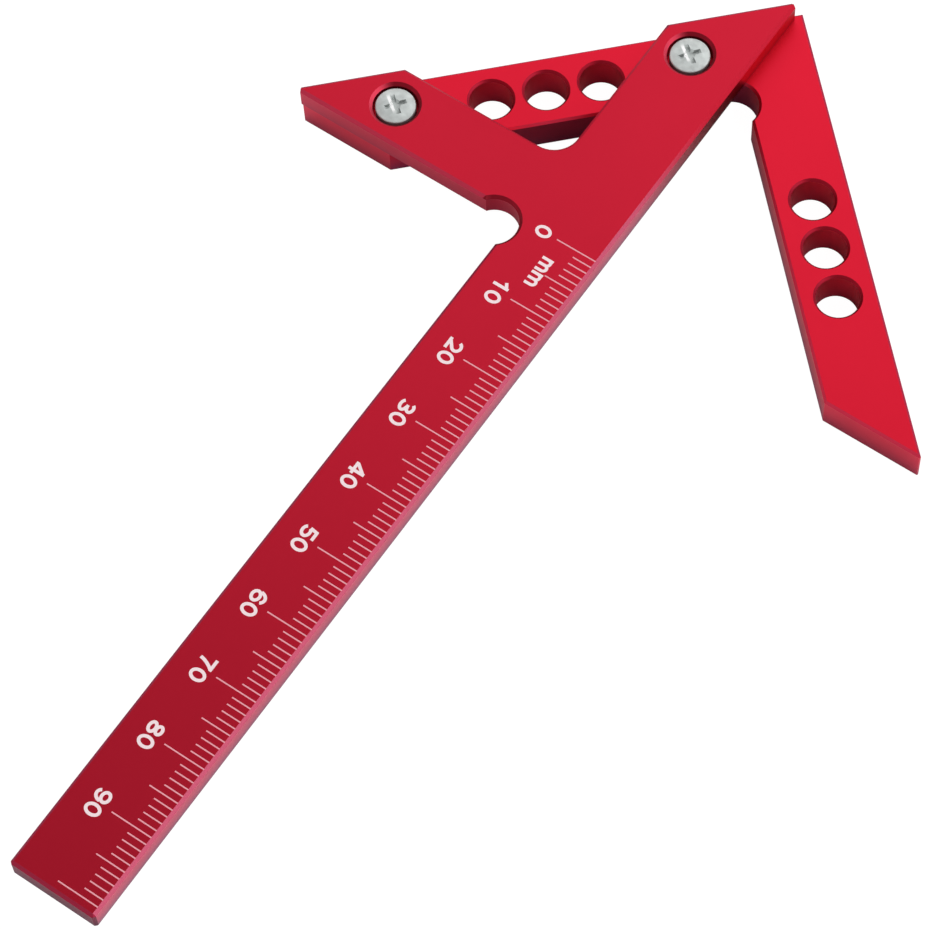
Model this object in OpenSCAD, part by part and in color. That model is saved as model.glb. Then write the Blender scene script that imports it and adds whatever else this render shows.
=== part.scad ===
// Center finder square: a V-shaped corner base, a ruler plate lying on its left leg,
// and two screws that hold the plate down. Millimetres, +Z up.
// The V's apex points to +Y and the ruler runs to -Y along the V's bisector.

/* [Corner base] */
// thickness of the base
base_t = 5; // [4:0.5:8]
// width of each leg
leg_w = 9.6; // [9:0.1:13]
// distance from the apex down the bisector to the cut leg ends
leg_drop = 45.5; // [44:0.5:60]
// diameter of the lightening holes
hole_d = 5.5; // [3:0.1:6]
// spacing of the holes along a leg
hole_pitch = 7; // [6.8:0.1:8]
// how far the middle hole lies toward the apex from midway between the screws
hole_shift = 0.4; // [0:0.1:1]
// number of holes in each leg
hole_count = 3; // [1:1:3]
// bevel around each hole, top and bottom
hole_bevel = 0.3; // [0.1:0.05:0.5]
// bevel along the base's edges
base_bevel = 0.3; // [0.1:0.05:0.6]
// flat that blunts the sharp tips of the legs, measured back from the tip
base_tip_cut = 0.3; // [0.1:0.05:1]
// radius of the clearance cut in the inner corner
base_relief_r = 3.3; // [2:0.1:4]
// how far that cut passes the inner corner
base_relief_over = 0.65; // [0.3:0.05:1]

/* [Ruler plate] */
// thickness of the plate
plate_t = 3; // [3:0.1:5]
// width of the ruler bar
ruler_w = 12; // [11:0.5:16]
// scribing edge's distance to the left of the bisector, half a pencil line
line_gap = 0.35; // [0.1:0.05:1]
// how far the head's lower edge, where the scale starts, passes the leg ends
head_over = 0.5; // [0.5:0.1:3]
// width of the head's side arm
arm_w = 10; // [8:0.5:12]
// length of the graduated scale
scale_len = 100; // [50:10:200]
// bare ruler past the last mark
scale_end = 1.3; // [0.5:0.1:5]
// fillet at the bottom of the notch between the arms
notch_r = 3.5; // [1:0.5:6]
// radius of the clearance cut between head and ruler
plate_relief_r = 3.2; // [2:0.1:4]
// how far that cut passes the corner
plate_relief_over = 0.35; // [0.2:0.05:0.8]
// bevel along the plate's top edges
plate_bevel = 0.4; // [0.1:0.05:0.6]
// flat that blunts the sharp tips of the head, measured back from the tip
plate_tip_cut = 0.95; // [0.2:0.05:1.5]
// flat that blunts the corners of the ruler's end
end_corner_cut = 0.2; // [0.1:0.05:0.6]

/* [Scale marks] */
// spacing of the marks
mark_pitch = 1; // [1:1:2]
// width of a mark
mark_w = 0.2; // [0.1:0.05:0.4]
// depth of a mark
mark_deep = 0.05; // [0.02:0.01:0.2]
// length of a plain mark, from the scribing edge
mark_short = 3; // [1:0.1:4]
// length of every fifth mark
mark_mid = 4.4; // [2:0.1:6]
// length of every tenth mark
mark_long = 6; // [3:0.1:8]

/* [Screws] */
// distance along the outer edge from the apex to the near screw; the far one is at the side arm's middle
screw_near = 15.65; // [14.5:0.05:16]
// distance of the screws from the outer edge of the leg
screw_in = 5; // [4.5:0.1:5.5]
// shank diameter
screw_d = 2.5; // [2:0.1:3]
// shank length under the head
screw_len = 5; // [4:0.5:5.5]
// head diameter
head_d = 5.1; // [4.5:0.1:5.6]
// height of the head at its rim
head_h = 1.9; // [1.5:0.1:2.2]
// rise of the domed head top above its rim
head_dome = 0.25; // [0.1:0.05:0.4]
// width of one arm of the cross recess
cross_w = 0.6; // [0.4:0.05:0.8]
// length across the cross recess at the top
cross_len = 3; // [2:0.1:3.4]
// depth of the cross recess
cross_deep = 1.2; // [0.8:0.1:1.4]
// turn of the cross recess
cross_turn = 53; // [0:1:90]

/* [Fits] */
// gap between shank and tapped hole, over the radius
thread_gap = 0.02; // [0.01:0.01:0.05]
// gap between shank and plate hole, over the radius
shank_gap = 0.2; // [0.1:0.05:0.4]
// gap between head and counterbore, over the radius
head_gap = 0.35; // [0.2:0.05:0.5]
// bevel at the counterbore's mouth
bore_bevel = 0.4; // [0.2:0.05:0.5]

/* [Hidden] */
$fn = 64;
root2 = sqrt(2);
lap = 1;
tip_turn = 45 / 2;
head_drop = leg_drop + head_over;
drop_end = head_drop + scale_len + scale_end;
apex_y = drop_end / 2;
edge_x = -line_gap;
back_x = edge_x - ruler_w;
arm_drop = head_drop - arm_w;
inner_y = -leg_w * root2;
inner_x = leg_drop + inner_y;
plate_z = base_t;
top_z = plate_z + plate_t;
bore_r = head_d / 2 + head_gap;
seat_z = top_z - head_h - head_dome;
base_relief_y = inner_y - base_relief_r + base_relief_over;
plate_relief_in = (plate_relief_r - plate_relief_over) / root2;
screw_far = root2 * (head_drop - arm_w / 2) - screw_in;
hole_mid = (screw_near + screw_far) / 2 - hole_shift;
mark_count = floor(scale_len / mark_pitch);

// a point on a leg: side -1 left or 1 right, distance along the outer edge, distance inward
function leg_pt(side, along, inward) =
    [side * (along - inward) / root2, -(along + inward) / root2];

// the two screw places on the left leg
screw_places = [for (along = [screw_near, screw_far]) leg_pt(-1, along, screw_in)];

// length of the mark at a given count from zero
function mark_len(i) = i % 10 == 0 ? mark_long : i % 5 == 0 ? mark_mid : mark_short;

// cutter for a 45 degree bevel on the top edge from p to q, solid on the left of p to q
module top_bevel(p, q, z, c, before = lap, after = lap) {
    run = norm(q - p);
    translate([p.x, p.y, z])
        rotate([0, 0, atan2(q.y - p.y, q.x - p.x)])
            translate([-before, 0, 0])
                rotate([90, 0, 90])
                    linear_extrude(run + before + after)
                        polygon([[c + lap, lap], [-lap, -c - lap], [-lap, lap]]);
}

// the same cutter turned over for a bottom edge
module bottom_bevel(p, q, z, c, before = lap, after = lap) {
    translate([0, 0, z])
        mirror([0, 0, 1])
            top_bevel(p, q, 0, c, before, after);
}

// cutter for a flat across an upright corner at p; the solid lies along turn
module corner_flat(p, turn, cut, z, h) {
    translate([p.x, p.y, z - lap])
        rotate([0, 0, turn])
            translate([-lap, -2 * lap, 0])
                cube([lap + cut, 4 * lap, h + 2 * lap]);
}

// upright bore through a slab, bevelled at both faces
module bevelled_bore(p, r, z, h, c) {
    translate([p.x, p.y, z]) {
        translate([0, 0, -lap])
            cylinder(r = r, h = h + 2 * lap);
        translate([0, 0, -lap])
            cylinder(r1 = r + c + lap, r2 = r, h = c + lap);
        translate([0, 0, h - c])
            cylinder(r1 = r, r2 = r + c + lap, h = c + lap);
    }
}

// bevels of the base's six straight edges, on the top or the bottom face
module base_edges(upper) {
    apex = [0, 0];
    left_tip = [-leg_drop, -leg_drop];
    left_in = [-inner_x, -leg_drop];
    right_in = [inner_x, -leg_drop];
    right_tip = [leg_drop, -leg_drop];
    corner = [0, inner_y];
    stop = -base_relief_r;
    if (upper) {
        top_bevel(apex, left_tip, base_t, base_bevel);
        top_bevel(left_tip, left_in, base_t, base_bevel);
        top_bevel(left_in, corner, base_t, base_bevel, lap, stop);
        top_bevel(corner, right_in, base_t, base_bevel, stop, lap);
        top_bevel(right_in, right_tip, base_t, base_bevel);
        top_bevel(right_tip, apex, base_t, base_bevel);
    } else {
        bottom_bevel(apex, left_tip, 0, base_bevel);
        bottom_bevel(left_tip, left_in, 0, base_bevel);
        bottom_bevel(left_in, corner, 0, base_bevel, lap, stop);
        bottom_bevel(corner, right_in, 0, base_bevel, stop, lap);
        bottom_bevel(right_in, right_tip, 0, base_bevel);
        bottom_bevel(right_tip, apex, 0, base_bevel);
    }
}

module corner_base() {
    color("crimson")
        translate([0, apex_y, 0])
            difference() {
                linear_extrude(base_t)
                    polygon([
                        [0, 0],
                        [-leg_drop, -leg_drop],
                        [-inner_x, -leg_drop],
                        [0, inner_y],
                        [inner_x, -leg_drop],
                        [leg_drop, -leg_drop]
                    ]);
                bevelled_bore([0, base_relief_y], base_relief_r, 0, base_t, base_bevel);
                base_edges(true);
                base_edges(false);
                corner_flat([-leg_drop, -leg_drop], tip_turn, base_tip_cut, 0, base_t);
                corner_flat([leg_drop, -leg_drop], 180 - tip_turn, base_tip_cut, 0, base_t);
                for (side = [-1, 1], i = [0 : hole_count - 1])
                    bevelled_bore(
                        leg_pt(side, hole_mid + (i - (hole_count - 1) / 2) * hole_pitch, leg_w / 2),
                        hole_d / 2, 0, base_t, hole_bevel);
                for (p = screw_places)
                    translate([p.x, p.y, -lap])
                        cylinder(d = screw_d + 2 * thread_gap, h = base_t + 2 * lap);
            }
}

// flat shape of the plate, with the filleted notch between its two arms
module plate_shape() {
    difference() {
        polygon([
            [edge_x, edge_x],
            [-head_drop, -head_drop],
            [back_x, -head_drop],
            [back_x, -drop_end],
            [edge_x, -drop_end]
        ]);
        polygon([
            [back_x, back_x + lap],
            [-arm_drop, -arm_drop + lap],
            [-arm_drop, -arm_drop],
            [back_x - notch_r, -arm_drop],
            [back_x, -arm_drop + notch_r]
        ]);
        translate([back_x - notch_r, -arm_drop + notch_r])
            circle(r = notch_r);
    }
}

// bevels along the plate's top edges
module plate_edges() {
    tip = [edge_x, edge_x];
    right_arm = [back_x, back_x];
    notch_right = [back_x, -arm_drop + notch_r];
    notch_left = [back_x - notch_r, -arm_drop];
    left_arm = [-arm_drop, -arm_drop];
    left_tip = [-head_drop, -head_drop];
    corner = [back_x, -head_drop];
    end_left = [back_x, -drop_end];
    end_right = [edge_x, -drop_end];
    top_bevel(tip, right_arm, top_z, plate_bevel);
    top_bevel(right_arm, notch_right, top_z, plate_bevel, lap, 0);
    top_bevel(notch_left, left_arm, top_z, plate_bevel, 0, lap);
    top_bevel(left_arm, left_tip, top_z, plate_bevel);
    top_bevel(left_tip, corner, top_z, plate_bevel, lap, -plate_relief_in);
    top_bevel(corner, end_left, top_z, plate_bevel, -plate_relief_in, lap);
    top_bevel(end_left, end_right, top_z, plate_bevel);
    top_bevel(end_right, tip, top_z, plate_bevel);
    translate([notch_left.x, notch_right.y, top_z - plate_bevel])
        cylinder(r1 = notch_r, r2 = notch_r + plate_bevel + lap, h = plate_bevel + lap);
}

// counterbored screw hole with a bevelled mouth
module screw_bore(p) {
    translate([p.x, p.y, 0]) {
        translate([0, 0, plate_z - lap])
            cylinder(r = screw_d / 2 + shank_gap, h = plate_t + 2 * lap);
        translate([0, 0, seat_z])
            cylinder(r = bore_r, h = top_z - seat_z + lap);
        translate([0, 0, top_z - bore_bevel])
            cylinder(r1 = bore_r, r2 = bore_r + bore_bevel + lap, h = bore_bevel + lap);
    }
}

// shallow marks cut in from the scribing edge, zero level with the head's lower edge
module scale_marks() {
    for (i = [0 : mark_count])
        translate([edge_x - mark_len(i), -head_drop - i * mark_pitch - mark_w / 2,
                   top_z - mark_deep])
            cube([mark_len(i) + lap, mark_w, mark_deep + lap]);
}

module ruler_plate() {
    color("firebrick")
        translate([0, apex_y, 0])
            difference() {
                translate([0, 0, plate_z])
                    linear_extrude(plate_t)
                        plate_shape();
                translate([back_x - plate_relief_in, -head_drop - plate_relief_in, plate_z - lap])
                    cylinder(r = plate_relief_r, h = plate_t + 2 * lap);
                translate([back_x - plate_relief_in, -head_drop - plate_relief_in, top_z - plate_bevel])
                    cylinder(r1 = plate_relief_r, r2 = plate_relief_r + plate_bevel + lap,
                             h = plate_bevel + lap);
                plate_edges();
                corner_flat([edge_x, edge_x], -90 - tip_turn, plate_tip_cut, plate_z, plate_t);
                corner_flat([-head_drop, -head_drop], tip_turn, plate_tip_cut, plate_z, plate_t);
                corner_flat([edge_x, -drop_end], 135, end_corner_cut, plate_z, plate_t);
                corner_flat([back_x, -drop_end], 45, end_corner_cut, plate_z, plate_t);
                for (p = screw_places)
                    screw_bore(p);
                scale_marks();
            }
}

// one arm of the cross recess, narrowing downward
module cross_arm() {
    rotate([90, 0, 0])
        translate([0, 0, -cross_w / 2])
            linear_extrude(cross_w)
                polygon([
                    [-cross_len / 2, lap],
                    [-cross_len / 2, 0],
                    [-cross_w / 2, -cross_deep],
                    [cross_w / 2, -cross_deep],
                    [cross_len / 2, 0],
                    [cross_len / 2, lap]
                ]);
}

// pan-head screw, its head's underside at zero
module screw() {
    dome_r = (pow(head_d / 2, 2) + pow(head_dome, 2)) / (2 * head_dome);
    difference() {
        union() {
            intersection() {
                cylinder(d = head_d, h = head_h + head_dome + lap);
                translate([0, 0, head_h + head_dome - dome_r])
                    sphere(r = dome_r);
            }
            translate([0, 0, -screw_len])
                cylinder(d = screw_d, h = screw_len + lap);
        }
        translate([0, 0, head_h + head_dome])
            rotate([0, 0, cross_turn]) {
                cross_arm();
                rotate([0, 0, 90])
                    cross_arm();
            }
    }
}

module fixing_screws() {
    color("silver")
        translate([0, apex_y, seat_z])
            for (p = screw_places)
                translate([p.x, p.y, 0])
                    screw();
}

corner_base();
ruler_plate();
fixing_screws();
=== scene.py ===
"""Finishes, scale and screws of a center finder square, built around its two plates."""

import math

import bpy
from bpy.props import FloatProperty, FloatVectorProperty, IntProperty, PointerProperty
from mathutils import Matrix, Quaternion, Vector


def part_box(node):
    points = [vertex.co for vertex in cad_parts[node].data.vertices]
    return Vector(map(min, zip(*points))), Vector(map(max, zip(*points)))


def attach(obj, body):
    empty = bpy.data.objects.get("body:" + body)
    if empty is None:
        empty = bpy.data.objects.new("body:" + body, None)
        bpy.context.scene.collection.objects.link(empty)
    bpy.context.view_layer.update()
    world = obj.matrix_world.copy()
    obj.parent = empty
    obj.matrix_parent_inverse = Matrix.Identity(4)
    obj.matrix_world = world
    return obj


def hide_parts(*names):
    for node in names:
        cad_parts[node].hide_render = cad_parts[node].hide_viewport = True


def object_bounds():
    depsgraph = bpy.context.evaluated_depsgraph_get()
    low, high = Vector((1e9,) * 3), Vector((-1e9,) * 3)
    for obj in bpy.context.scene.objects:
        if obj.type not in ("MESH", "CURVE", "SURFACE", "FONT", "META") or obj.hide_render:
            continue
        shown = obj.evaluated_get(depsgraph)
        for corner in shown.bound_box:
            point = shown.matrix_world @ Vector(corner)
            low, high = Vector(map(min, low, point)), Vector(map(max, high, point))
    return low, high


bl_info = {
    "name": "Center finder square",
    "version": (1, 0, 0),
    "blender": (4, 5, 0),
    "location": "3D View > Sidebar > Square",
    "description": "Red anodised plates, a white millimetre scale and zinc-plated screws",
    "category": "Object",
}

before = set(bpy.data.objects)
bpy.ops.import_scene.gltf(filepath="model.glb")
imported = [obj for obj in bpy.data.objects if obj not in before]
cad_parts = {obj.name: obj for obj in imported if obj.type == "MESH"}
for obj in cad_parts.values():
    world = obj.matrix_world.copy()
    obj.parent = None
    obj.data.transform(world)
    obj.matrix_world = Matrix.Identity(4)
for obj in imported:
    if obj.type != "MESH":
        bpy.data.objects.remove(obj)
CAD_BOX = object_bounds()
BASE_LOW, BASE_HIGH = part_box("corner_base")
PLATE_LOW, PLATE_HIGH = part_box("ruler_plate")
SCREWS_LOW, SCREWS_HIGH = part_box("fixing_screws")
BODY = "root"
MM = 0.001
WHITE = (1, 1, 1, 1)

# Which marks are longer, and how much of a cut mark the paint fills
MID_EVERY = 5
LONG_EVERY = 10
FILL_SHARE = 0.8

# Width of a digit over its height
DIGIT_W = 0.8

# Which faces count as upright or bevelled, by the upward part of their normal
UPRIGHT_LEAN = 0.3
BEVEL_LEAN = math.sqrt(0.5)
BEVEL_SPREAD = 0.1

# How strongly the painted highlight and shade of a mouth, or the painted shade of an inner wall, follows
# its turn to the right or the back
MOUTH_RIGHT = 1.1
MOUTH_BACK = 0.85
WALL_RIGHT = 1.4

# How far the notch's tone, kept out of the far bevels' painted shade, reaches past its edges, over the
# bevel, and how far the leg ends are left out of the inner walls' painted shade
NOTCH_REACH = 1.25
END_MARGIN = 0.05 * MM

# Fine relief of the metals and speckle of the paint
RELIEF_DEEP = 0.01 * MM
SPECKLE = 0.15 * MM

# Where the painted glint, a pale streak on a screw, starts and is full, over its width and its length
STREAK_ASIDE = (0.7, 0.3)
STREAK_ALONG = (0.6, 0.3)

# Facets of the screws, the thread's half height over its pitch, and the angle where shading breaks
HEAD_SIDES = 64
RIM_STEPS = 6
DOME_STEPS = 8
THREAD_STEPS = 32
THREAD_HALF = 0.46
SHARP_ANGLE = math.radians(35)

# Tapers of the recess's arms toward the floor, and the radii of its middle over the cross's length
ARM_END_TAPER = 0.25
ARM_SIDE_TAPER = 0.3
MIDDLE_FLOOR = 0.17
MIDDLE_MOUTH = 0.26
MIDDLE_SIDES = 32

# Floor, in metres, and the white that the camera sees on it
FLOOR_SIZE = 8
FLOOR_GAP = 0.05 * MM
FLOOR_WHITE = 1.15

# Place, width and height of each softbox, in metres, all aimed at the origin
SOFTBOXES = {
    "back": ((-0.185, 1.036, 0.763), 2.2, 1.4),
    "right": ((0.933, 0.363, 0.829), 2.0, 1.2),
    "front": ((0.05, -1.21, 0.46), 3.0, 1.2),
    "left": ((-1.2, -0.1, 0.48), 2.4, 1.2),
}

# Width of the camera's sensor in millimetres, and its near clipping in metres
SENSOR_W = 36
NEAR_CLIP = 0.01


def length(name, description, default):
    """A size in metres that the panel shows as a length."""
    return FloatProperty(name=name, description=description, default=default,
                         unit="LENGTH", precision=5)


def color(name, description, default):
    """A linear colour."""
    return FloatVectorProperty(name=name, description=description, default=default,
                               subtype="COLOR", size=3, min=0, max=1)


def watts(name, description, default):
    """Power of a light."""
    return FloatProperty(name=name, description=description, default=default, unit="POWER")


class SquareScale(bpy.types.PropertyGroup):
    """Sizes of the ruler and of the marks and numbers on it"""
    mark_count: IntProperty(name="Marks", description="Marks after the zero", default=100)
    mark_pitch: length("Pitch", "Spacing of the marks", 1 * MM)
    mark_w: length("Mark width", "Width of a mark's paint", 0.17 * MM)
    mark_deep: length("Mark depth", "Depth of the cut that holds the paint", 0.05 * MM)
    mark_short: length("Short", "Length of a plain mark from the scribing edge", 3 * MM)
    mark_mid: length("Middle", "Length of every fifth mark", 4.4 * MM)
    mark_long: length("Long", "Length of every tenth mark", 6 * MM)
    scale_end: length("Bare end", "Bare ruler past the last mark", 1.3 * MM)
    bevel: length("Edge bevel", "Bevel of the scribing edge, which the marks stop at", 0.4 * MM)
    ruler_w: length("Ruler width", "Width of the ruler bar and of the arm above it", 12 * MM)
    arm_w: length("Side arm", "Width of the head's side arm", 10 * MM)
    # Painted sheen on the scribing edge: gone at the first height, full at the second and all down the
    # scale
    fresh_at: length("Fresh", "Height above the zero where the scribing edge has its full dye",
                     26.4 * MM)
    worn_at: length("Worn", "Height above the zero where the scribing edge is worn pale", 4.4 * MM)
    paint_t: length("Paint rise", "How far the paint of the numbers stands up", 0.012 * MM)
    number_h: length("Number height", "Height of the numbers", 2.17 * MM)
    number_step: length("Digit spacing", "Distance from digit to digit", 1.92 * MM)
    number_in: length("Number line", "Middle of the numbers from the scribing edge", 7.97 * MM)
    number_bold: FloatProperty(name="Boldness", description="Stroke width over number height",
                               default=0.19, min=0.05, max=0.3)
    unit_h: length("Unit height", "Height of the unit's small letters", 1.58 * MM)
    unit_w: length("Unit letter width", "Width of one letter of the unit", 2.1 * MM)
    unit_step: length("Unit spacing", "Distance from letter to letter", 2.32 * MM)
    unit_in: length("Unit line", "Middle of the unit from the scribing edge", 5.28 * MM)
    unit_at: length("Unit place", "Place of the unit along the scale", 5 * MM)
    unit_bold: length("Unit stroke", "Stroke width of the unit", 0.4 * MM)


class SquareHoles(bpy.types.PropertyGroup):
    """Where the mouths of the round holes and the inner walls are, which get painted highlight and shade
    """
    hole_pitch: length("Hole pitch", "Spacing of the holes along a leg", 7 * MM)
    hole_reach: length("Hole reach", "Radius that takes in the mouth of a hole", 3.7 * MM)
    bore_reach: length("Bore reach", "Radius that takes in the mouth of a counterbore or the round cut",
                       3.62 * MM)
    cut_in: length("Round cut", "How far its middle lies past the corner of head and ruler", 2.015 * MM)
    inner_drop: length("Inner drop", "How far below the apex, past the holes, the inner walls begin",
                       11.35 * MM)
    shade_run: length("Shade", "Distance from the leg ends over which the inner walls grow dark", 12 * MM)


class SquareScrews(bpy.types.PropertyGroup):
    """Sizes of the two screws"""
    head_d: length("Head", "Diameter of the head", 5.1 * MM)
    head_h: length("Head height", "Height of the head at its rim", 1.9 * MM)
    dome: length("Dome", "Rise of the head's top above its rim", 0.25 * MM)
    rim_r: length("Rim", "Rounding of the head's rim", 0.2 * MM)
    edge_r: length("Edge", "Rounding of the sharp edges", 0.05 * MM)
    shank_d: length("Shank", "Diameter over the thread", 2.5 * MM)
    thread_pitch: length("Pitch", "Pitch of the thread", 0.45 * MM)
    thread_deep: length("Thread depth", "Depth of the thread", 0.24 * MM)
    cross_len: length("Cross", "Length across the recess", 3.0 * MM)
    cross_w: length("Cross arm", "Width of an arm of the recess", 0.62 * MM)
    cross_deep: length("Cross depth", "Depth of the recess", 0.5 * MM)
    cross_turn: FloatProperty(name="Cross turn", description="Turn of the recess",
                              default=math.radians(53), unit="ROTATION")
    # Place and size of the painted glint, a pale streak beside the recess
    streak_side: length("Streak side", "Place of the pale streak along one arm of the recess",
                        -0.46 * MM)
    streak_along: length("Streak middle", "Place of its middle along the other arm", 0.3 * MM)
    streak_w: length("Streak width", "Width of the streak", 0.44 * MM)
    streak_len: length("Streak length", "Length of the streak", 2.7 * MM)


class SquareFinish(bpy.types.PropertyGroup):
    """Colours and grain of the finishes"""
    base_dye: color("Base red", "Dye of the corner base", (0.68, 0.0145, 0.037))
    plate_dye: color("Plate red", "Dye of the ruler plate", (0.56, 0.0155, 0.037))
    # Painted sheen of the scribing edge, a pale pink
    worn_dye: color("Worn red", "Scribing edge, paler from use", (0.82, 0.128, 0.22))
    zinc: color("Zinc", "Plating of the screws", (0.645, 0.675, 0.665))
    mark_paint: color("Mark paint", "Thin paint in the cut marks", (0.88, 0.36, 0.42))
    number_paint: color("Number paint", "Paint of the numbers and the unit", (0.93, 0.76, 0.79))
    floor: color("Floor", "Pale floor", (0.88, 0.88, 0.88))
    grain: length("Grain", "Size of the blasted grain", 0.12 * MM)
    mottle: length("Mottle", "Size of the plating's mottling", 0.9 * MM)
    roughness: FloatProperty(name="Roughness", description="Roughness of the anodised faces",
                             default=0.36, min=0, max=1)


class SquareStage(bpy.types.PropertyGroup):
    """Camera and studio light"""
    camera_place: FloatVectorProperty(name="Camera", description="Place of the camera",
                                      default=(0.1267, -0.16296, 0.40492), unit="LENGTH")
    camera_aim: FloatVectorProperty(name="Aim", description="Point in the picture's middle",
                                    default=(0.00187, -0.0039, 0.008), unit="LENGTH")
    camera_roll: FloatProperty(name="Roll", description="Turn of the camera about its aim",
                               default=math.radians(-3.875), unit="ROTATION")
    camera_lens: FloatProperty(name="Lens", description="Focal length in millimetres",
                               default=146.02)
    world: FloatProperty(name="Room", description="Light of the white room", default=0.31)
    sweep: FloatProperty(name="Sweep", default=0.85, min=0, max=1,
                         description="Share of the floor that the camera sees as plain white")
    back_power: watts("Back", "Softbox that the upper faces mirror", 10.5)
    right_power: watts("Right", "Softbox that lights the right edges", 11)
    front_power: watts("Front", "Softbox that fills the near edges", 6)
    left_power: watts("Left", "Softbox that fills the left edges", 4.5)


# Places on the object

def zero_y():
    """Place of the zero mark along the ruler."""
    scale = bpy.context.scene.square_scale
    return PLATE_LOW.y + scale.scale_end + scale.mark_count * scale.mark_pitch


def screw_spots():
    """Tops of the screw near the apex and of the far one."""
    radius = bpy.context.scene.square_screws.head_d / 2
    return (Vector((SCREWS_HIGH.x - radius, SCREWS_HIGH.y - radius, SCREWS_HIGH.z)),
            Vector((SCREWS_LOW.x + radius, SCREWS_LOW.y + radius, SCREWS_HIGH.z)))


def hole_spots(pitch):
    """About where the three holes of each leg are: spread from midway between the screws, and mirrored."""
    near, far = screw_spots()
    along = (far - near).normalized() * pitch
    middle = (near + far) / 2
    middle.z = BASE_HIGH.z
    left = [middle + along * i for i in (-1, 0, 1)]
    return left + [Vector((-spot.x, spot.y, spot.z)) for spot in left]


def round_cut_spot(scale, holes):
    """Middle of the round cut in the corner of head and ruler."""
    corner = PLATE_HIGH.x - scale.ruler_w
    return Vector((corner - holes.cut_in, zero_y() - holes.cut_in, PLATE_HIGH.z))


# Selecting and finishing

def deselect():
    """Leaves nothing selected."""
    bpy.ops.object.select_all(action="DESELECT")


def pick(obj):
    """Selects one object alone and makes it active."""
    deselect()
    obj.select_set(True)
    bpy.context.view_layer.objects.active = obj


def added(operator, **values):
    """The object that an operator adds, with nothing else selected."""
    deselect()
    operator(**values)
    return bpy.context.object


def settle():
    """Puts the selected objects' place, turn and scale into their meshes."""
    bpy.ops.object.transform_apply(location=True, rotation=True, scale=True)


def apply_modifier(obj, kind, **values):
    """Adds a modifier with the given values and applies it."""
    modifier = obj.modifiers.new(kind.title(), kind)
    for key, value in values.items():
        setattr(modifier, key, value)
    pick(obj)
    bpy.ops.object.modifier_apply(modifier=modifier.name)


def combine(obj, other, operation):
    """Unites another solid with obj or cuts it away, and deletes the other."""
    apply_modifier(obj, "BOOLEAN", object=other, operation=operation, solver="EXACT")
    bpy.data.objects.remove(other)


def join(parts, name):
    """Joins objects into one with its place in its mesh."""
    deselect()
    for part in parts:
        part.select_set(True)
    bpy.context.view_layer.objects.active = parts[0]
    if len(parts) > 1:
        bpy.ops.object.join()
    whole = bpy.context.object
    settle()
    bpy.ops.object.shade_flat()
    whole.name = name
    whole.data.name = name
    return whole


def copy_of(obj, matrix):
    """A copy with its own mesh, moved by a matrix."""
    twin = obj.copy()
    twin.data = obj.data.copy()
    twin.matrix_world = matrix @ obj.matrix_world
    bpy.context.collection.objects.link(twin)
    return twin


def dress(obj, material):
    """Gives the whole object one material."""
    obj.data.materials.clear()
    obj.data.materials.append(material)


# Nodes of the materials

def feed(tree, socket, value):
    """Joins a node's output to a socket, or sets a plain value on it."""
    if isinstance(value, bpy.types.NodeSocket):
        tree.links.new(value, socket)
    else:
        socket.default_value = value


def math_of(tree, operation, *values, clamp=False):
    """Output of a math node."""
    node = tree.nodes.new("ShaderNodeMath")
    node.operation = operation
    node.use_clamp = clamp
    for socket, value in zip(node.inputs, values):
        feed(tree, socket, value)
    return node.outputs["Value"]


def all_of(tree, *masks):
    """Mask of what lies in every given mask."""
    whole = masks[0]
    for mask in masks[1:]:
        whole = math_of(tree, "MULTIPLY", whole, mask)
    return whole


def vector_math_of(tree, operation, first, second):
    """Value of a vector math node."""
    node = tree.nodes.new("ShaderNodeVectorMath")
    node.operation = operation
    feed(tree, node.inputs[0], first)
    feed(tree, node.inputs[1], second)
    return node.outputs["Value"]


def mix_of(tree, factor, first, second, kind="RGBA"):
    """Output of a mix of two colours (RGBA) or two values (FLOAT)."""
    start, out = {"FLOAT": (2, 0), "RGBA": (6, 2)}[kind]
    node = tree.nodes.new("ShaderNodeMix")
    node.data_type = kind
    feed(tree, node.inputs[0], factor)
    feed(tree, node.inputs[start], first)
    feed(tree, node.inputs[start + 1], second)
    return node.outputs[out]


def fade_of(tree, value, start, end):
    """Soft fade from 0 at start to 1 at end."""
    node = tree.nodes.new("ShaderNodeMapRange")
    node.interpolation_type = "SMOOTHSTEP"
    feed(tree, node.inputs["Value"], value)
    feed(tree, node.inputs["From Min"], start)
    feed(tree, node.inputs["From Max"], end)
    return node.outputs["Result"]


def place_of(tree):
    """Place on the piece."""
    return tree.nodes.new("ShaderNodeTexCoord").outputs["Object"]


def facing_of(tree):
    """Way that the surface faces."""
    return tree.nodes.new("ShaderNodeNewGeometry").outputs["Normal"]


def split(tree, vector):
    """X, Y and Z outputs of a vector."""
    node = tree.nodes.new("ShaderNodeSeparateXYZ")
    feed(tree, node.inputs["Vector"], vector)
    return node.outputs


def noise_of(tree, scale, detail):
    """Soft noise over the piece."""
    node = tree.nodes.new("ShaderNodeTexNoise")
    feed(tree, node.inputs["Vector"], place_of(tree))
    feed(tree, node.inputs["Scale"], scale)
    feed(tree, node.inputs["Detail"], detail)
    return node.outputs["Fac"]


def tinted(base, *shares):
    """An opaque colour with its channels multiplied, all alike or one by one."""
    shares = shares * 3 if len(shares) == 1 else shares
    return [min(1.0, channel * share) for channel, share in zip(base, shares)] + [1.0]


# Materials

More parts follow.
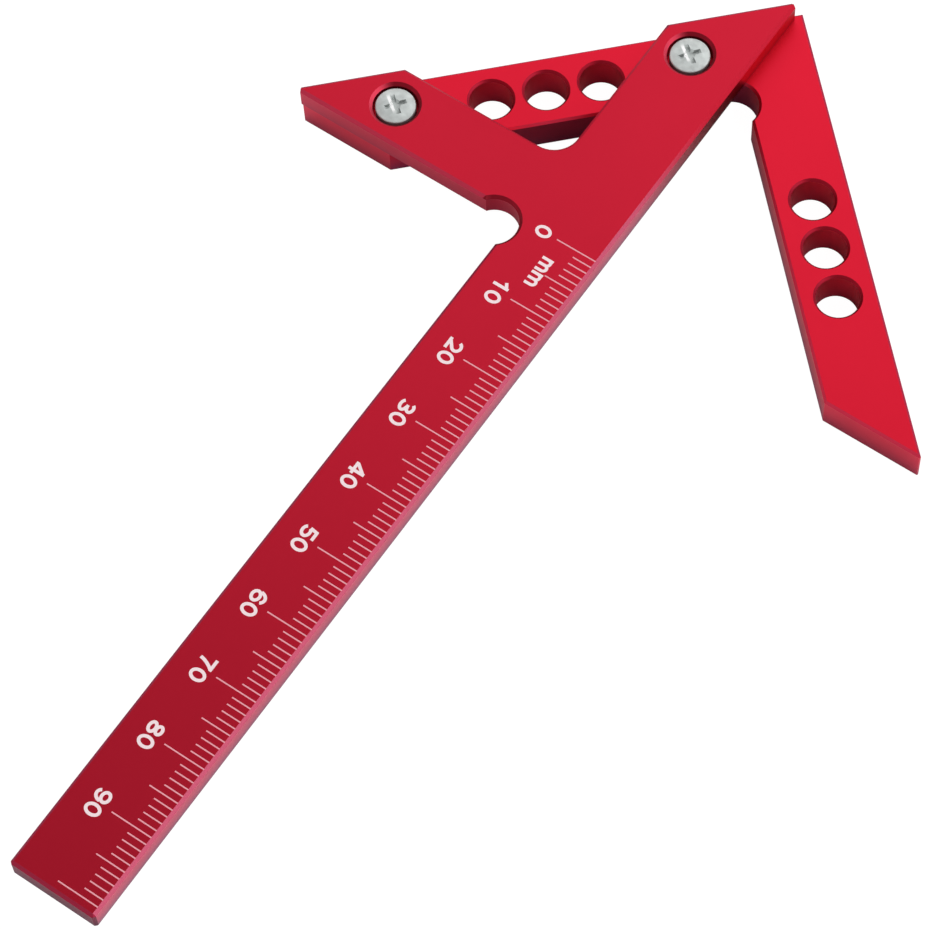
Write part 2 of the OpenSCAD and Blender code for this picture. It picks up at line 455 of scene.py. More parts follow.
def grain_group():
    """Blasted grain and cloudy tone, with painted sheen, highlight and shade on sides, bevels and mouths
    of holes, shared by the metals.
    """
    if "Satin grain" in bpy.data.node_groups:
        return bpy.data.node_groups["Satin grain"]
    group = bpy.data.node_groups.new("Satin grain", "ShaderNodeTree")
    colors = {"INPUT": ("Color", "Deep color", "Side color", "Low side color", "Edge color",
                        "Far edge color", "Shaded mouth color", "Lit mouth color"),
              "OUTPUT": ("Color",)}
    values = {"INPUT": ("Grain scale", "Cloud scale", "Roughness", "Roughness spread",
                        "Far edge roughness", "Far to the left", "Far to the back",
                        "Bottom", "Top", "Mouth"),
              "OUTPUT": ("Roughness", "Height", "Bevel", "Low")}
    for way in ("INPUT", "OUTPUT"):
        for name in colors[way]:
            group.interface.new_socket(name, in_out=way, socket_type="NodeSocketColor")
        for name in values[way]:
            group.interface.new_socket(name, in_out=way, socket_type="NodeSocketFloat")
    given = group.nodes.new("NodeGroupInput").outputs
    result = group.nodes.new("NodeGroupOutput").inputs
    grain = noise_of(group, given["Grain scale"], 2)
    cloud = noise_of(group, given["Cloud scale"], 3)
    place = split(group, place_of(group))
    facing = split(group, facing_of(group))
    tilt = math_of(group, "ABSOLUTE", facing["Z"])
    side = math_of(group, "LESS_THAN", tilt, UPRIGHT_LEAN)
    bevel = math_of(group, "COMPARE", tilt, BEVEL_LEAN, BEVEL_SPREAD)
    # Bevels facing left or back get the far edge colour, a painted shade
    left = math_of(group, "MULTIPLY", facing["X"], given["Far to the left"])
    back = math_of(group, "MULTIPLY", facing["Y"], given["Far to the back"])
    far = math_of(group, "SUBTRACT", back, left, clamp=True)
    # Sides turn to the low side colour toward the bottom, a painted shade
    below = math_of(group, "SUBTRACT", given["Top"], place["Z"])
    thickness = math_of(group, "SUBTRACT", given["Top"], given["Bottom"])
    down = math_of(group, "DIVIDE", below, thickness, clamp=True)
    low = math_of(group, "MULTIPLY", down, down)
    flank = mix_of(group, low, given["Side color"], given["Low side color"])
    tone = mix_of(group, cloud, given["Color"], given["Deep color"])
    tone = mix_of(group, side, tone, flank)
    edge = mix_of(group, far, given["Edge color"], given["Far edge color"])
    # Mouths of holes get painted highlight where they face right or back, and painted shade elsewhere
    across = math_of(group, "MULTIPLY", facing["X"], MOUTH_RIGHT)
    lit = math_of(group, "MULTIPLY_ADD", facing["Y"], MOUTH_BACK, across, clamp=True)
    mouth = mix_of(group, lit, given["Shaded mouth color"], given["Lit mouth color"])
    edge = mix_of(group, given["Mouth"], edge, mouth)
    satin = math_of(group, "MULTIPLY_ADD", cloud, given["Roughness spread"], given["Roughness"])
    dull = math_of(group, "MULTIPLY", bevel, far)
    rough = mix_of(group, dull, satin, given["Far edge roughness"], kind="FLOAT")
    feed(group, result["Color"], mix_of(group, bevel, tone, edge))
    feed(group, result["Roughness"], rough)
    feed(group, result["Height"], grain)
    feed(group, result["Bevel"], bevel)
    feed(group, result["Low"], low)
    return group


def new_material(name):
    """A material, its node tree and its shader."""
    material = bpy.data.materials.new(name)
    material.use_nodes = True
    tree = material.node_tree
    return material, tree, tree.nodes["Principled BSDF"]


def set_tone(tree, tone):
    """Feeds the shader's colour."""
    feed(tree, tree.nodes["Principled BSDF"].inputs["Base Color"], tone)


def satin_metal(name, bump, settings):
    """Metal that takes its tone and relief from the shared group, with the given inputs."""
    material, tree, shader = new_material(name)
    group = tree.nodes.new("ShaderNodeGroup")
    group.node_tree = grain_group()
    group.name = group.node_tree.name
    for socket, value in settings.items():
        group.inputs[socket].default_value = value
    relief = tree.nodes.new("ShaderNodeBump")
    relief.inputs["Strength"].default_value = bump
    relief.inputs["Distance"].default_value = RELIEF_DEEP
    feed(tree, relief.inputs["Height"], group.outputs["Height"])
    feed(tree, shader.inputs["Normal"], relief.outputs["Normal"])
    feed(tree, shader.inputs["Roughness"], group.outputs["Roughness"])
    set_tone(tree, group.outputs["Color"])
    shader.inputs["Metallic"].default_value = 1.0
    return material


def anodised(name, node, finish, dye, lit, low, left, back):
    """Red plate, with painted sheen on its cut sides turning to painted shade toward their bottoms, and
    painted sheen, highlight and shade on bevels and mouths by their facing.
    """
    bottom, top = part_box(node)
    return satin_metal(name, 0.25, {
        "Color": tinted(dye, 1.03),
        "Deep color": tinted(dye, 0.97),
        # Painted light: sheen on the sides, shade low on the sides, sheen on near bevels, shade on far
        # bevels, shade and highlight on mouths
        "Side color": tinted(dye, 1.12, 1.9, 2.0),
        "Low side color": tinted(dye, low, 2.1, 2.1),
        "Edge color": tinted(dye, 0.88, 2.2, 1.9),
        "Far edge color": tinted(dye, 0.6, 1, 1.6),
        "Shaded mouth color": tinted(dye, 0.4, 0.55, 0.48),
        "Lit mouth color": tinted(dye, *lit),
        "Grain scale": 1 / finish.grain,
        "Cloud scale": 60,
        "Roughness": finish.roughness,
        "Roughness spread": 0.06,
        "Far edge roughness": 0.6,
        "Far to the left": left,
        "Far to the back": back,
        "Bottom": bottom.z,
        "Top": top.z,
    })


def zinc_plated(name, finish):
    """Dull plating, mottled, with painted shade on the walls of the recess."""
    return satin_metal(name, 0.3, {
        "Color": tinted(finish.zinc, 1.25),
        "Deep color": tinted(finish.zinc, 0.75),
        # Painted shade on the upright faces, the walls of the recess
        "Side color": tinted(finish.zinc, 0.64),
        "Edge color": tinted(finish.zinc, 1),
        "Grain scale": 1 / finish.grain,
        "Cloud scale": 1 / finish.mottle,
        "Roughness": 0.68,
        "Roughness spread": 0.12,
    })


def paint_material(name, base):
    """Dull marking paint, a little uneven."""
    material, tree, shader = new_material(name)
    shader.inputs["Roughness"].default_value = 0.6
    speckle = noise_of(tree, 1 / SPECKLE, 2)
    set_tone(tree, mix_of(tree, speckle, tinted(base, 0.94), tinted(base, 1.06)))
    return material


def mark_mouths(material, spots, reach):
    """Tells the shared group where the bevelled mouths of round holes are, which get painted highlight and
    shade.
    """
    tree = material.node_tree
    place = place_of(tree)
    nearest = reach
    for spot in spots:
        gap = vector_math_of(tree, "DISTANCE", place, spot)
        nearest = math_of(tree, "MINIMUM", nearest, gap)
    within = math_of(tree, "LESS_THAN", nearest, reach)
    feed(tree, tree.nodes["Satin grain"].inputs["Mouth"], within)


def inner_walls(material, dye, holes):
    """Painted shade, redder and darker, on the upright walls inside the V, darkest in the round cut and
    under the ruler plate.
    """
    tree = material.node_tree
    satin = tree.nodes["Satin grain"].outputs
    place = split(tree, place_of(tree))
    facing = split(tree, facing_of(tree))
    upright = math_of(tree, "COMPARE", facing["Z"], 0, UPRIGHT_LEAN)
    slant = math_of(tree, "ADD", place["Y"], math_of(tree, "ABSOLUTE", place["X"]))
    within = math_of(tree, "LESS_THAN", slant, BASE_HIGH.y - holes.inner_drop)
    past_end = math_of(tree, "GREATER_THAN", place["Y"], BASE_LOW.y + END_MARGIN)
    # Painted shade grows on walls turned to the right and away from the leg ends
    turned_away = math_of(tree, "MULTIPLY_ADD", facing["X"], WALL_RIGHT, 1, clamp=True)
    depth = fade_of(tree, place["Y"], BASE_LOW.y, BASE_LOW.y + holes.shade_run)
    shade = math_of(tree, "MULTIPLY", turned_away, depth)
    # Lit and shaded tones of the inner walls, each with painted shade toward the bottom
    bright = mix_of(tree, satin["Low"], tinted(dye, 1, 0.6, 1.1), tinted(dye, 0.4, 3.2, 3.7))
    dark = mix_of(tree, satin["Low"], tinted(dye, 0.45, 0.6, 1.1), tinted(dye, 0.25, 1.6, 1.9))
    wall = mix_of(tree, shade, bright, dark)
    inner = all_of(tree, upright, within, past_end)
    set_tone(tree, mix_of(tree, inner, satin["Color"], wall))


def notch_mask(tree, place, scale):
    """Where the notch between the head's arms is, with its bevels."""
    margin = NOTCH_REACH * scale.bevel
    above = math_of(tree, "GREATER_THAN", place["Y"], zero_y() + scale.arm_w - margin)
    beside = math_of(tree, "LESS_THAN", place["X"], PLATE_HIGH.x - scale.ruler_w + margin)
    slant = math_of(tree, "SUBTRACT", place["Y"], place["X"])
    within = math_of(tree, "LESS_THAN", slant, BASE_HIGH.y - 2 * margin)
    return all_of(tree, above, beside, within)


def ruler_wear(material, finish, scale):
    """Paints sheen on the scribing edge along the scale, with painted shade low on its side, paints shade
    on the sawn end, and keeps the notch's bevels red, out of the far bevels' painted shade.
    """
    tree = material.node_tree
    satin = tree.nodes["Satin grain"].outputs
    place = split(tree, place_of(tree))
    dye, sheened = finish.plate_dye, finish.worn_dye
    # Painted sheen on the scribing edge, fading out into the head, with painted shade toward the bottom of
    # its side
    fade = fade_of(tree, place["Y"], zero_y() + scale.fresh_at, zero_y() + scale.worn_at)
    right_top = mix_of(tree, fade, tinted(dye, 0.8), tinted(sheened, 1))
    right_low = mix_of(tree, fade, tinted(dye, 0.4), tinted(sheened, 0.45, 1.1, 1.05))
    right_face = mix_of(tree, satin["Low"], right_top, right_low)
    right_bevel = mix_of(tree, fade, tinted(dye, 0.92), tinted(sheened, 0.66, 0.74, 0.74))
    right = mix_of(tree, satin["Bevel"], right_face, right_bevel)
    # Painted shade on the sawn end and its bevel
    end_face = mix_of(tree, satin["Low"], tinted(dye, 0.42, 0.8, 1.4), tinted(dye, 0.2, 0.8, 1.4))
    end = mix_of(tree, satin["Bevel"], end_face, tinted(dye, 0.6, 1.4, 1.4))
    is_right = math_of(tree, "GREATER_THAN", place["X"], PLATE_HIGH.x - scale.bevel)
    is_end = math_of(tree, "LESS_THAN", place["Y"], PLATE_LOW.y + scale.bevel)
    # The notch's bevels take a red near the face's own instead of the far bevels' painted shade
    notch = all_of(tree, notch_mask(tree, place, scale), satin["Bevel"])
    tone = mix_of(tree, notch, satin["Color"], tinted(dye, 0.92, 0.7, 1.1))
    tone = mix_of(tree, is_right, tone, right)
    set_tone(tree, mix_of(tree, is_end, tone, end))


def distance_along(tree, way, middle):
    """How far a place lies from a middle along one way, to either side."""
    reach = vector_math_of(tree, "DOT_PRODUCT", place_of(tree), way)
    return math_of(tree, "ABSOLUTE", math_of(tree, "SUBTRACT", reach, middle))


def streak_recess(material, size):
    """Pale streak beside each recess, in place of the bright glint that is seen there."""
    tree = material.node_tree
    arm = Vector((math.cos(size.cross_turn), math.sin(size.cross_turn), 0))
    other = Vector((-arm.y, arm.x, 0))
    streak = 0
    for spot in screw_spots():
        aside = distance_along(tree, arm, spot.dot(arm) + size.streak_side)
        along = distance_along(tree, other, spot.dot(other) + size.streak_along)
        here = all_of(tree, fade_of(tree, aside, *(share * size.streak_w for share in STREAK_ASIDE)),
                      fade_of(tree, along, *(share * size.streak_len for share in STREAK_ALONG)))
        streak = math_of(tree, "MAXIMUM", streak, here)
    plating = tree.nodes["Satin grain"].outputs["Color"]
    set_tone(tree, mix_of(tree, streak, plating, WHITE))


# Shapes of the digits and of the letter m, as strokes in a cell one unit tall

def arc(x, y, rx, ry, start, end, steps=20):
    """Points along an ellipse between two angles in degrees."""
    turns = [math.radians(start + (end - start) * i / steps) for i in range(steps + 1)]
    return [(x + rx * math.cos(t), y + ry * math.sin(t)) for t in turns]


def ring(x, y, rx, ry, steps=36):
    """Points round a whole ellipse, the last one left out."""
    return arc(x, y, rx, ry, 0, 360, steps)[:-1]


def turned(points, wide):
    """The same points turned half round in the digit's cell."""
    return [(wide - x, 1 - y) for x, y in points]


def digit_strokes(digit, bold):
    """Strokes of one digit: each is its points and whether it closes."""
    half = bold / 2
    mid = DIGIT_W / 2
    top = 1 - half
    six_bowl = ring(mid + 0.01, 0.33, mid - half - 0.01, 0.33 - half)
    six_back = arc(mid + 0.02, 0.5, mid - half + 0.02, 0.5 - half, 180, 38)
    if digit == "0":
        return [(ring(mid, 0.5, mid - half - 0.01, 0.5 - half), True)]
    if digit == "1":
        return [([(0.47, 0), (0.47, 1)], False), ([(0.12, 0.66), (0.47, 0.88)], False)]
    if digit == "2":
        hook = arc(mid, 0.64, mid - half - 0.02, 0.36 - half, 165, -38)
        foot = [(0.02, half), (DIGIT_W - 0.03, half)]
        return [(hook + [(half + 0.06, half)], False), (foot, False)]
    if digit == "3":
        upper = arc(mid - 0.02, 0.72, mid - half - 0.05, 0.28 - half, 160, -90)
        lower = arc(mid - 0.02, 0.29, mid - half, 0.29 - half, 90, -160)
        return [(upper, False), (lower, False), ([(0.25, 0.515), (mid, 0.515)], False)]
    if digit == "4":
        return [([(0.56, 0), (0.56, 1)], False), ([(0.53, top - 0.02), (0.09, 0.31)], False),
                ([(0.02, 0.29), (DIGIT_W, 0.29)], False)]
    if digit == "5":
        bowl = arc(mid - 0.01, 0.33, mid - half, 0.33 - half, 138, -160)
        return [([(0.15, top), (0.72, top)], False), ([(0.2, 0.98), (0.13, 0.46)], False),
                (bowl, False)]
    if digit == "6":
        return [(six_bowl, True), (six_back, False)]
    if digit == "7":
        bend = [(0.69, 0.9), (0.55, 0.7), (0.44, 0.48), (0.36, 0.25), (0.31, 0)]
        return [([(0.04, top), (0.77, top)], False), (bend, False)]
    if digit == "8":
        return [(ring(mid, 0.73, mid - half - 0.06, 0.27 - half), True),
                (ring(mid, 0.29, mid - half - 0.01, 0.29 - half), True)]
    return [(turned(six_bowl, DIGIT_W), True), (turned(six_back, DIGIT_W), False)]


def letter_m_strokes(wide, bold):
    """Strokes of a small m, one unit tall and of the given width."""
    half = bold / 2
    span = (wide - bold) / 2
    rise = 0.3
    strokes = [([(half, 0), (half, 1)], False)]
    for i in range(2):
        start = half + span * i
        arch = arc(start + span / 2, 1 - half - rise, span / 2, rise, 170, 0, 12)
        strokes.append((arch + [(start + span, 0)], False))
    return strokes


def flat_nib(wide, thick):
    """Flat pen profile that a stroke is drawn with."""
    profile = bpy.data.curves.new("nib", "CURVE")
    spline = profile.splines.new("POLY")
    spline.points.add(3)
    corners = [(-wide, -thick), (wide, -thick), (wide, thick), (-wide, thick)]
    for point, (x, y) in zip(spline.points, corners):
        point.co = (x / 2, y / 2, 0, 1)
    spline.use_cyclic_u = True
    nib = bpy.data.objects.new("nib", profile)
    bpy.context.collection.objects.link(nib)
    return nib


def drawn_stroke(points, closed, nib):
    """One stroke as a closed mesh."""
    path = bpy.data.curves.new("stroke", "CURVE")
    path.dimensions = "3D"
    path.twist_mode = "Z_UP"
    path.bevel_mode = "OBJECT"
    path.bevel_object = nib
    path.use_fill_caps = True
    spline = path.splines.new("POLY")
    spline.points.add(len(points) - 1)
    for point, (x, y) in zip(spline.points, points):
        point.co = (x, y, 0, 1)
    spline.use_cyclic_u = closed
    stroke = bpy.data.objects.new("stroke", path)
    bpy.context.collection.objects.link(stroke)
    pick(stroke)
    bpy.ops.object.convert(target="MESH")
    stroke = bpy.context.object
    bpy.ops.object.mode_set(mode="EDIT")
    bpy.ops.mesh.select_all(action="SELECT")
    bpy.ops.mesh.remove_doubles(threshold=1e-5)
    bpy.ops.mesh.normals_make_consistent(inside=False)
    bpy.ops.object.mode_set(mode="OBJECT")
    return stroke


def drawn_glyph(strokes, bold, thick):
    """One digit or letter, its strokes united."""
    nib = flat_nib(bold, thick)
    parts = [drawn_stroke(points, closed, nib) for points, closed in strokes]
    bpy.data.objects.remove(nib)
    for part in parts[1:]:
        combine(parts[0], part, "UNION")
    return parts[0]


def on_ruler(along, inward, height, shift):
    """Matrix that lays a unit-tall glyph on the ruler, reading down it, shifted along its line."""
    spot = Vector((PLATE_HIGH.x - inward, zero_y() - along - shift, PLATE_HIGH.z))
    turn = Matrix.Rotation(math.radians(-90), 4, "Z")
    size = Matrix.Diagonal((height, height, 1, 1))
    half_down = Matrix.Translation((0, -0.5, 0))
    return Matrix.Translation(spot) @ turn @ size @ half_down


# Operators

class SQUARE_OT_finish_base(bpy.types.Operator):
    """Anodise the corner base"""
    bl_idname = "square.finish_base"
    bl_label = "Corner base"

    def execute(self, context):
        finish = context.scene.square_finish
        holes = context.scene.square_holes
        # lit tints the painted highlight of the mouths, low sets the painted shade low on the sides, left
        # and back weigh the far bevels' painted shade
        material = anodised("red_base", "corner_base", finish, finish.base_dye,
                            lit=(0.6, 1.2, 1.1), low=0.5, left=0.4, back=2.0)
        mark_mouths(material, hole_spots(holes.hole_pitch), holes.hole_reach)
        inner_walls(material, finish.base_dye, holes)
        dress(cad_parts["corner_base"], material)
        return {"FINISHED"}


class SQUARE_OT_finish_plate(bpy.types.Operator):
    """Anodise the ruler plate"""
    bl_idname = "square.finish_plate"
    bl_label = "Ruler plate"

    def execute(self, context):
        finish = context.scene.square_finish
        scale = context.scene.square_scale
        holes = context.scene.square_holes
        # lit tints the painted highlight of the mouths, low sets the painted shade low on the sides, left
        # and back weigh the far bevels' painted shade
        material = anodised("red_plate", "ruler_plate", finish, finish.plate_dye,
                            lit=(1.35, 4, 3), low=0.85, left=1.6, back=1.2)
        mark_mouths(material, [*screw_spots(), round_cut_spot(scale, holes)], holes.bore_reach)
        ruler_wear(material, finish, scale)
        dress(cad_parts["ruler_plate"], material)
        return {"FINISHED"}


class SQUARE_OT_paint_marks(bpy.types.Operator):
    """Fill the cut marks of the scale with paint"""
    bl_idname = "square.paint_marks"
    bl_label = "Scale marks"

    def mark(self, scale, run):
        """One filled mark of a given length, at the zero."""
        right = PLATE_HIGH.x - scale.bevel + scale.mark_deep / 2
        left = PLATE_HIGH.x - run
        fill = scale.mark_deep * FILL_SHARE
        mark = added(bpy.ops.mesh.primitive_cube_add, size=1)
        mark.scale = (right - left, scale.mark_w, fill)
        mark.location = ((left + right) / 2, zero_y(), PLATE_HIGH.z - scale.mark_deep + fill / 2)
        settle()
        return mark

    def run_of(self, scale, number):
        """Length of a mark by its number."""
        if number % LONG_EVERY == 0:
            return scale.mark_long
        if number % MID_EVERY == 0:
            return scale.mark_mid
        return scale.mark_short

    def execute(self, context):
        scale = context.scene.square_scale
        kinds = {run: self.mark(scale, run)
                 for run in (scale.mark_short, scale.mark_mid, scale.mark_long)}
        marks = []
        for i in range(scale.mark_count + 1):
            step = Matrix.Translation((0, -i * scale.mark_pitch, 0))
            marks.append(copy_of(kinds[self.run_of(scale, i)], step))
        for mark in kinds.values():
            bpy.data.objects.remove(mark)
        whole = join(marks, "scale_marks")
        dress(whole, paint_material("mark_paint", context.scene.square_finish.mark_paint))
        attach(whole, BODY)
        return {"FINISHED"}


class SQUARE_OT_paint_numbers(bpy.types.Operator):
    """Print the numbers and the unit beside the marks"""
    bl_idname = "square.paint_numbers"
    bl_label = "Numbers and unit"

    def numbers(self, scale, thick):
        """Every tenth number, in one piece."""
        digits = {d: drawn_glyph(digit_strokes(d, scale.number_bold), scale.number_bold, thick)
                  for d in "0123456789"}
        printed = []
        for value in range(0, scale.mark_count, LONG_EVERY):
            text = str(value)
            reach = scale.number_step * (len(text) - 1) + DIGIT_W * scale.number_h
            for i, digit in enumerate(text):
                shift = i * scale.number_step - reach / 2
                place = on_ruler(value * scale.mark_pitch, scale.number_in, scale.number_h, shift)
                printed.append(copy_of(digits[digit], place))
        for glyph in digits.values():
            bpy.data.objects.remove(glyph)
        return join(printed, "scale_numbers")

    def unit(self, scale, thick):
        """The two letters of the unit, in one piece."""
        bold = scale.unit_bold / scale.unit_h
        letter = drawn_glyph(letter_m_strokes(scale.unit_w / scale.unit_h, bold), bold, thick)
        reach = scale.unit_step + scale.unit_w
        pair = []
        for i in range(2):
            shift = i * scale.unit_step - reach / 2
            place = on_ruler(scale.unit_at, scale.unit_in, scale.unit_h, shift)
            pair.append(copy_of(letter, place))
        bpy.data.objects.remove(letter)
        return join(pair, "scale_unit")

    def execute(self, context):
        scale = context.scene.square_scale
        thick = 2 * scale.paint_t
        pieces = (self.numbers(scale, thick), self.unit(scale, thick))
        material = paint_material("number_paint", context.scene.square_finish.number_paint)
        for piece in pieces:
            dress(piece, material)
            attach(piece, BODY)
        return {"FINISHED"}


class SQUARE_OT_fit_screws(bpy.types.Operator):
    """Model the cross-recess screw and fit it in both counterbores"""
    bl_idname = "square.fit_screws"
    bl_label = "Screws"

    def core(self, size):
        """Radius of the shank inside the thread."""
        return size.shank_d / 2 - size.thread_deep

    def shank(self, size):
        """Length of the shank below the head."""
        return SCREWS_HIGH.z - SCREWS_LOW.z - size.head_h - size.dome

    def head(self, size):
        """Domed head with a rounded rim, its top's middle at zero, and a plain core below."""
        radius = size.head_d / 2
        head = added(bpy.ops.mesh.primitive_cylinder_add, vertices=HEAD_SIDES, radius=radius,
                     depth=size.head_h, location=(0, 0, -size.dome - size.head_h / 2))
        settle()
        self.keep_face(head, 1)
        bpy.ops.mesh.bevel(offset=size.rim_r, segments=RIM_STEPS, affect="EDGES")
        bpy.ops.object.mode_set(mode="OBJECT")
        self.keep_face(head, 1)
        flat = radius - size.rim_r
        for i in range(DOME_STEPS - 1):
            here = 1 - i / DOME_STEPS
            there = 1 - (i + 1) / DOME_STEPS
            rise = size.dome * (here ** 3 - there ** 3)
            bpy.ops.mesh.inset(thickness=flat / DOME_STEPS, depth=rise)
        bpy.ops.object.mode_set(mode="OBJECT")
        self.keep_face(head, -1)
        bpy.ops.mesh.inset(thickness=radius - self.core(size))
        down = (0, 0, -self.shank(size))
        bpy.ops.mesh.extrude_region_move(TRANSFORM_OT_translate={"value": down})
        bpy.ops.mesh.bevel(offset=size.thread_deep, segments=1, affect="EDGES")
        bpy.ops.object.mode_set(mode="OBJECT")
        return head

    def keep_face(self, obj, way):
        """Goes into edit mode with only the highest or lowest level face selected."""
        pick(obj)
        bpy.ops.object.mode_set(mode="EDIT")
        bpy.ops.mesh.select_mode(type="FACE")
        bpy.ops.mesh.select_all(action="DESELECT")
        bpy.ops.object.mode_set(mode="OBJECT")
        level = [face for face in obj.data.polygons if face.normal.z * way > 0.999]
        best = max(level, key=lambda face: face.center.z * way)
        best.select = True
        bpy.ops.object.mode_set(mode="EDIT")

    def thread(self, size):
        """Helical ridge round the core."""
        turns = int(self.shank(size) / size.thread_pitch) - 2
        low = SCREWS_LOW.z - SCREWS_HIGH.z + 1.5 * size.thread_pitch
        ridge = added(bpy.ops.mesh.primitive_circle_add, vertices=4, radius=1,
                      fill_type="NOTHING", rotation=(math.radians(90), 0, 0))
        ridge.scale = (size.thread_deep, size.thread_pitch * THREAD_HALF, 1)
        ridge.location = (self.core(size), 0, low)
        settle()
        apply_modifier(ridge, "SCREW", angle=math.tau, steps=THREAD_STEPS, render_steps=THREAD_STEPS,
                       screw_offset=size.thread_pitch, iterations=turns, use_merge_vertices=True,
                       merge_threshold=1e-7)
        bpy.ops.object.mode_set(mode="EDIT")
        bpy.ops.mesh.select_all(action="DESELECT")
        bpy.ops.mesh.select_mode(type="EDGE")
        bpy.ops.mesh.select_non_manifold()
        bpy.ops.mesh.fill()
        bpy.ops.mesh.select_all(action="SELECT")
        bpy.ops.mesh.normals_make_consistent(inside=False)
        bpy.ops.object.mode_set(mode="OBJECT")
        return ridge

    def recess(self, size):
        """Cross of two tapered bars and a middle cone, for cutting."""
        over = size.cross_deep / 4
        tall = size.cross_deep + over
        middle = (0, 0, over - tall / 2)
        bars = []
        for turn in (0, math.radians(90)):
            bar = added(bpy.ops.mesh.primitive_cube_add, size=1, location=middle)
            bar.scale = (size.cross_len, size.cross_w, tall)
            settle()
            for vertex in bar.data.vertices:
                down = -vertex.co.z / size.cross_deep
                vertex.co.x *= 1 - ARM_END_TAPER * down
                vertex.co.y *= 1 - ARM_SIDE_TAPER * down
            bar.rotation_euler = (0, 0, size.cross_turn + turn)
            settle()
            bars.append(bar)
        cone = added(bpy.ops.mesh.primitive_cone_add, vertices=MIDDLE_SIDES, depth=tall,
                     radius1=MIDDLE_FLOOR * size.cross_len, radius2=MIDDLE_MOUTH * size.cross_len,
                     location=middle)
        combine(bars[0], bars[1], "UNION")
        combine(bars[0], cone, "UNION")
        return bars[0]

    def execute(self, context):
        size = context.scene.square_screws
        screw = self.head(size)
        combine(screw, self.recess(size), "DIFFERENCE")
        combine(screw, self.thread(size), "UNION")
        apply_modifier(screw, "BEVEL", width=size.edge_r, segments=2, limit_method="ANGLE",
                       angle_limit=SHARP_ANGLE)
        material = zinc_plated("screw_zinc", context.scene.square_finish)
        streak_recess(material, size)
        for name, spot in zip(("screw_near", "screw_far"), screw_spots()):
            piece = join([copy_of(screw, Matrix.Translation(spot))], name)
            bpy.ops.object.shade_smooth_by_angle(angle=SHARP_ANGLE)
            dress(piece, material)
            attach(piece, BODY)
            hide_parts("fixing_screws")
        bpy.data.objects.remove(screw)
        return {"FINISHED"}


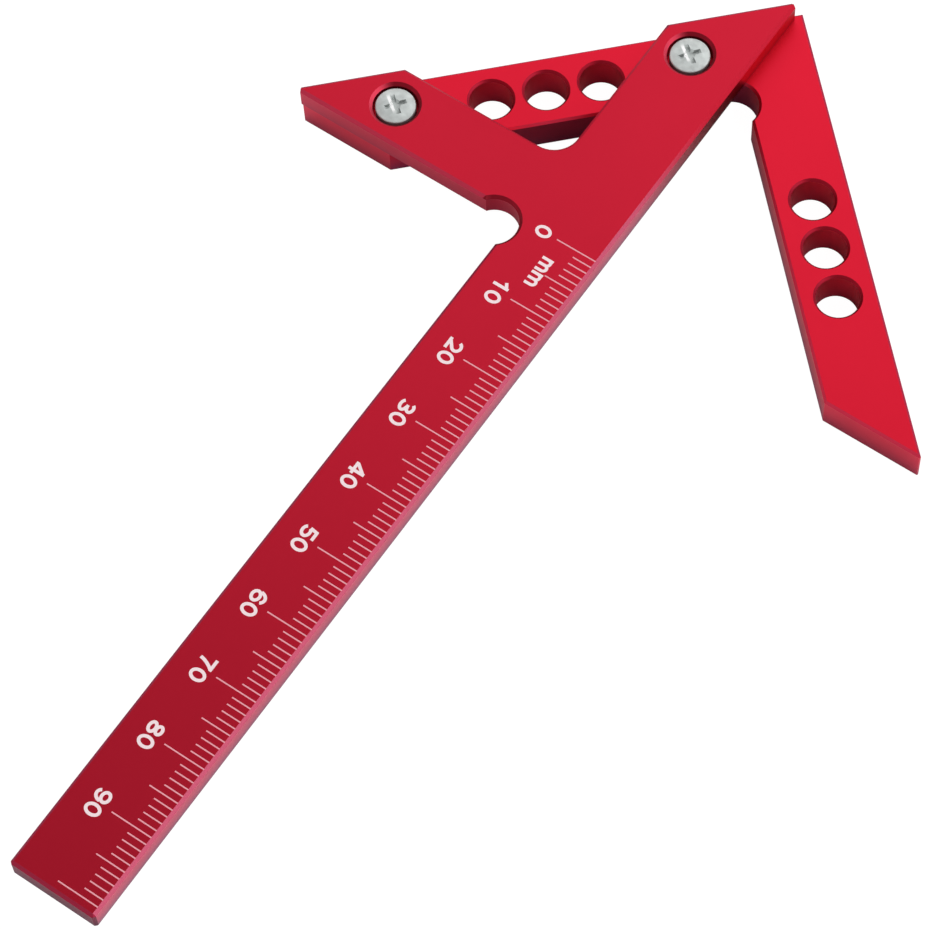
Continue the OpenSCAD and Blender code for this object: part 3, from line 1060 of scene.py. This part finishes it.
class SQUARE_OT_set_stage(bpy.types.Operator):
    """Lay the floor, set the lights and aim the camera"""
    bl_idname = "square.set_stage"
    bl_label = "Stage"

    def floor_material(self, base, sweep):
        """Pale floor that the camera sees nearly white, with a faint shadow left in it."""
        material, tree, shader = new_material("pale_floor")
        shader.inputs["Base Color"].default_value = tinted(base, 1)
        shader.inputs["Roughness"].default_value = 0.9
        shader.inputs["Specular IOR Level"].default_value = 0.1
        white = tree.nodes.new("ShaderNodeEmission")
        white.inputs["Strength"].default_value = FLOOR_WHITE
        ray = tree.nodes.new("ShaderNodeLightPath")
        share = math_of(tree, "MULTIPLY", ray.outputs["Is Camera Ray"], sweep)
        blend = tree.nodes.new("ShaderNodeMixShader")
        parts = (share, shader.outputs["BSDF"], white.outputs["Emission"])
        for socket, value in zip(blend.inputs, parts):
            feed(tree, socket, value)
        feed(tree, tree.nodes["Material Output"].inputs["Surface"], blend.outputs["Shader"])
        return material

    def lay_floor(self, material):
        """Plain floor just under the object."""
        floor = added(bpy.ops.mesh.primitive_plane_add, size=FLOOR_SIZE,
                      location=(0, 0, CAD_BOX[0].z - FLOOR_GAP))
        floor.name = "floor"
        dress(floor, material)

    def light_room(self, scene, strength):
        """White room all round."""
        world = bpy.data.worlds.new("room")
        world.use_nodes = True
        background = world.node_tree.nodes["Background"]
        background.inputs["Color"].default_value = WHITE
        background.inputs["Strength"].default_value = strength
        scene.world = world

    def softbox(self, name, place, wide, tall, power):
        """Area light aimed at the object."""
        lamp = added(bpy.ops.object.light_add, type="AREA", location=place)
        lamp.name = name
        lamp.data.shape = "RECTANGLE"
        lamp.data.size = wide
        lamp.data.size_y = tall
        lamp.data.energy = power
        lamp.rotation_euler = (-Vector(place)).to_track_quat("-Z", "Y").to_euler()

    def aim_camera(self, scene, stage):
        """Camera at the photograph's place."""
        place = Vector(stage.camera_place)
        aim = (Vector(stage.camera_aim) - place).to_track_quat("-Z", "Y")
        camera = added(bpy.ops.object.camera_add, location=place)
        camera.rotation_mode = "QUATERNION"
        camera.rotation_quaternion = aim @ Quaternion((0, 0, 1), stage.camera_roll)
        camera.data.sensor_width = SENSOR_W
        camera.data.lens = stage.camera_lens
        camera.data.clip_start = NEAR_CLIP
        scene.camera = camera

    def execute(self, context):
        scene = context.scene
        stage = scene.square_stage
        self.lay_floor(self.floor_material(scene.square_finish.floor, stage.sweep))
        self.light_room(scene, stage.world)
        for side, (place, wide, tall) in SOFTBOXES.items():
            self.softbox(f"{side}_softbox", place, wide, tall, getattr(stage, f"{side}_power"))
        scene.view_settings.view_transform = "Standard"
        self.aim_camera(scene, stage)
        return {"FINISHED"}


OPERATORS = (
    SQUARE_OT_finish_base,
    SQUARE_OT_finish_plate,
    SQUARE_OT_paint_marks,
    SQUARE_OT_paint_numbers,
    SQUARE_OT_fit_screws,
    SQUARE_OT_set_stage,
)
GROUPS = {
    "square_scale": SquareScale,
    "square_holes": SquareHoles,
    "square_screws": SquareScrews,
    "square_finish": SquareFinish,
    "square_stage": SquareStage,
}


class SQUARE_PT_panel(bpy.types.Panel):
    """Pieces and settings of the square"""
    bl_idname = "SQUARE_PT_panel"
    bl_label = "Center finder square"
    bl_space_type = "VIEW_3D"
    bl_region_type = "UI"
    bl_category = "Square"

    def draw(self, context):
        for operator in OPERATORS:
            self.layout.operator(operator.bl_idname)
        for name, group in GROUPS.items():
            box = self.layout.box()
            box.label(text=group.__doc__)
            for key in group.__annotations__:
                box.prop(getattr(context.scene, name), key)


def register():
    for group in GROUPS.values():
        bpy.utils.register_class(group)
    for name, group in GROUPS.items():
        setattr(bpy.types.Scene, name, PointerProperty(type=group))
    for operator in OPERATORS:
        bpy.utils.register_class(operator)
    bpy.utils.register_class(SQUARE_PT_panel)


def unregister():
    bpy.utils.unregister_class(SQUARE_PT_panel)
    for operator in reversed(OPERATORS):
        bpy.utils.unregister_class(operator)
    for name, group in GROUPS.items():
        delattr(bpy.types.Scene, name)
        bpy.utils.unregister_class(group)


def main():
    """Builds every piece and the stage."""
    register()
    bpy.ops.square.finish_base()
    bpy.ops.square.finish_plate()
    bpy.ops.square.paint_marks()
    bpy.ops.square.paint_numbers()
    bpy.ops.square.fit_screws()
    bpy.ops.square.set_stage()


if __name__ == "__main__":
    main()
